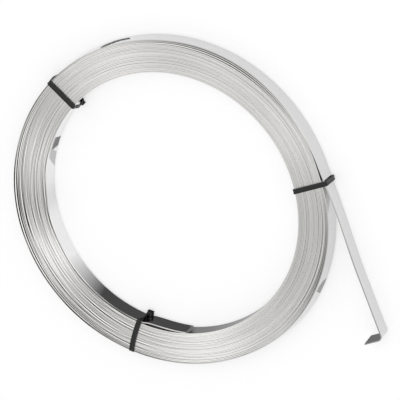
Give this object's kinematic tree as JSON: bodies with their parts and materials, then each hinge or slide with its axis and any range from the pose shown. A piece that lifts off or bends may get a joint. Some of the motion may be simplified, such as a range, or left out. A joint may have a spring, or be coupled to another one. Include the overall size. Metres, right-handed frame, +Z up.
{
  "type": "steel coil",
  "caption": "Coil of bright flat steel strip wound into a flat ring, held by black cable ties, with a straight free tail that ends in a bent hook; raw stock lying flat.",
  "frame": {"origin": "where the coil's axis meets the floor that the coil lies on", "axes": "+Z up along the coil's axis; the free tail leaves the coil at +X and runs along -Y"},
  "size_m": [0.3301, 0.3449, 0.022],
  "materials": {
    "steel_strip": "bright, fine lines along the strip",
    "tie_nylon": "smooth black nylon with a soft shine"
  },
  "bodies": {
    "root": {"strip_coil": "steel_strip", "cable_tie_1": "tie_nylon", "cable_tie_2": "tie_nylon", "cable_tie_3": "tie_nylon"}
  },
  "joints": []
}
